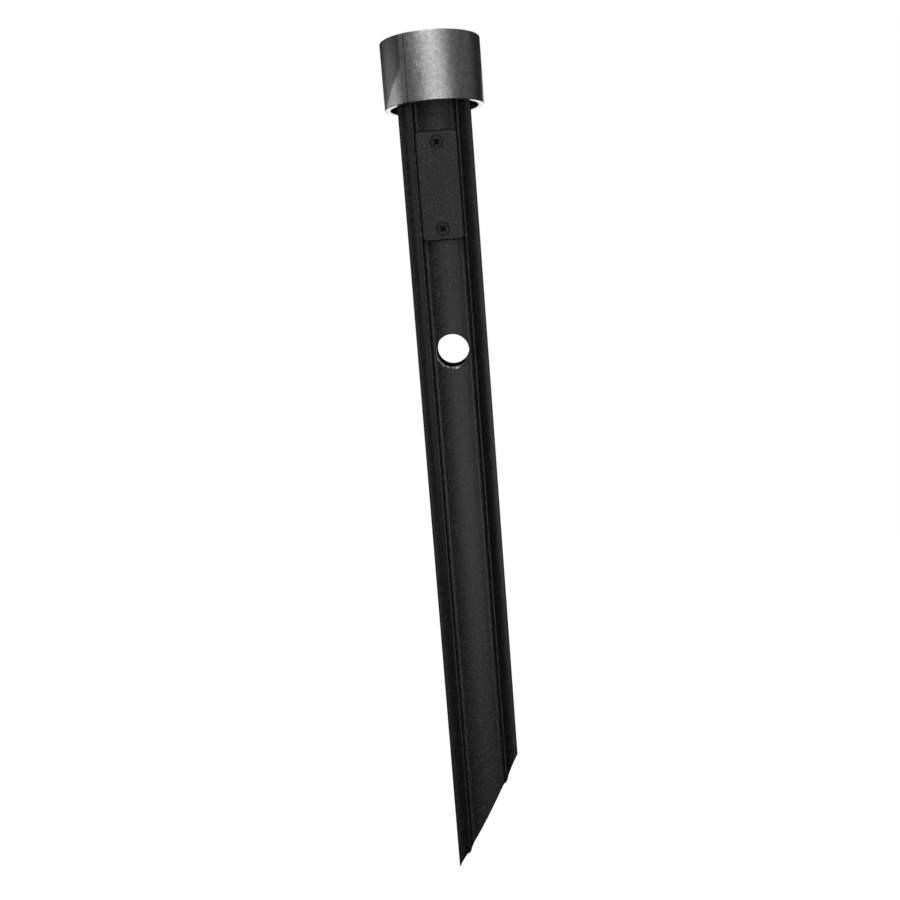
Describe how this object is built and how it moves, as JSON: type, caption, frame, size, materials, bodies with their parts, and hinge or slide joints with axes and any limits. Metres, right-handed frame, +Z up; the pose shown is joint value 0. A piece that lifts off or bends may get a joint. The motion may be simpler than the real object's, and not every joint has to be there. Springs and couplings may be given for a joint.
{
  "type": "post anchor spike",
  "caption": "Mitred black extruded ground spike with ribbed, bulging faces, a screwed cover plate, a cable hole through it and a bare metal collar on its head that takes a round post.",
  "frame": {"origin": "middle of the collar's lower edge, on the spike's axis, which is the ground line when the spike is driven in", "axes": "+Z up along the spike, out of the post socket; the front, with the cover plate, faces -Y; the point is at -X"},
  "size_m": [0.0762, 0.0762, 0.664],
  "materials": {
    "black_powder_coat": "fine satin powder coat on extruded aluminium",
    "bare_metal": "bare drawn tube, mottled, with small pits and scratches",
    "plain_steel": "turned steel plate",
    "zinc_plated_steel": "zinc plated",
    "black_oxide_steel": "black oxide",
    "black_screw": "satin black"
  },
  "bodies": {
    "spike": {"spike_body": "black_powder_coat", "head_plate": "plain_steel", "head_screws": "zinc_plated_steel", "collar": "bare_metal", "insert_upper": "zinc_plated_steel", "insert_lower": "zinc_plated_steel"},
    "cover": {"cover_plate": "black_powder_coat"},
    "upper_screw": {"cover_screw_upper": "black_screw"},
    "lower_screw": {"cover_screw_lower": "black_screw"},
    "left_grub": {"grub_screw_left": "black_oxide_steel"},
    "right_grub": {"grub_screw_right": "black_oxide_steel"}
  },
  "joints": [
    {"name": "cover_lift", "type": "slide", "parent": "spike", "child": "cover", "axis": [0, -1, 0], "range_m": [0, 0.04]},
    {"name": "upper_screw_turn", "type": "hinge", "parent": "cover", "child": "upper_screw", "pos_m": [0, -0.02825, -0.02865], "axis": [0, -1, 0], "continuous": true},
    {"name": "lower_screw_turn", "type": "hinge", "parent": "cover", "child": "lower_screw", "pos_m": [0, -0.02825, -0.09215], "axis": [0, -1, 0], "continuous": true},
    {"name": "left_grub_drive", "type": "slide", "parent": "spike", "child": "left_grub", "axis": [0.7071, -0.7071, 0], "range_m": [0, 0.002]},
    {"name": "right_grub_drive", "type": "slide", "parent": "spike", "child": "right_grub", "axis": [-0.7071, -0.7071, 0], "range_m": [0, 0.002]}
  ]
}
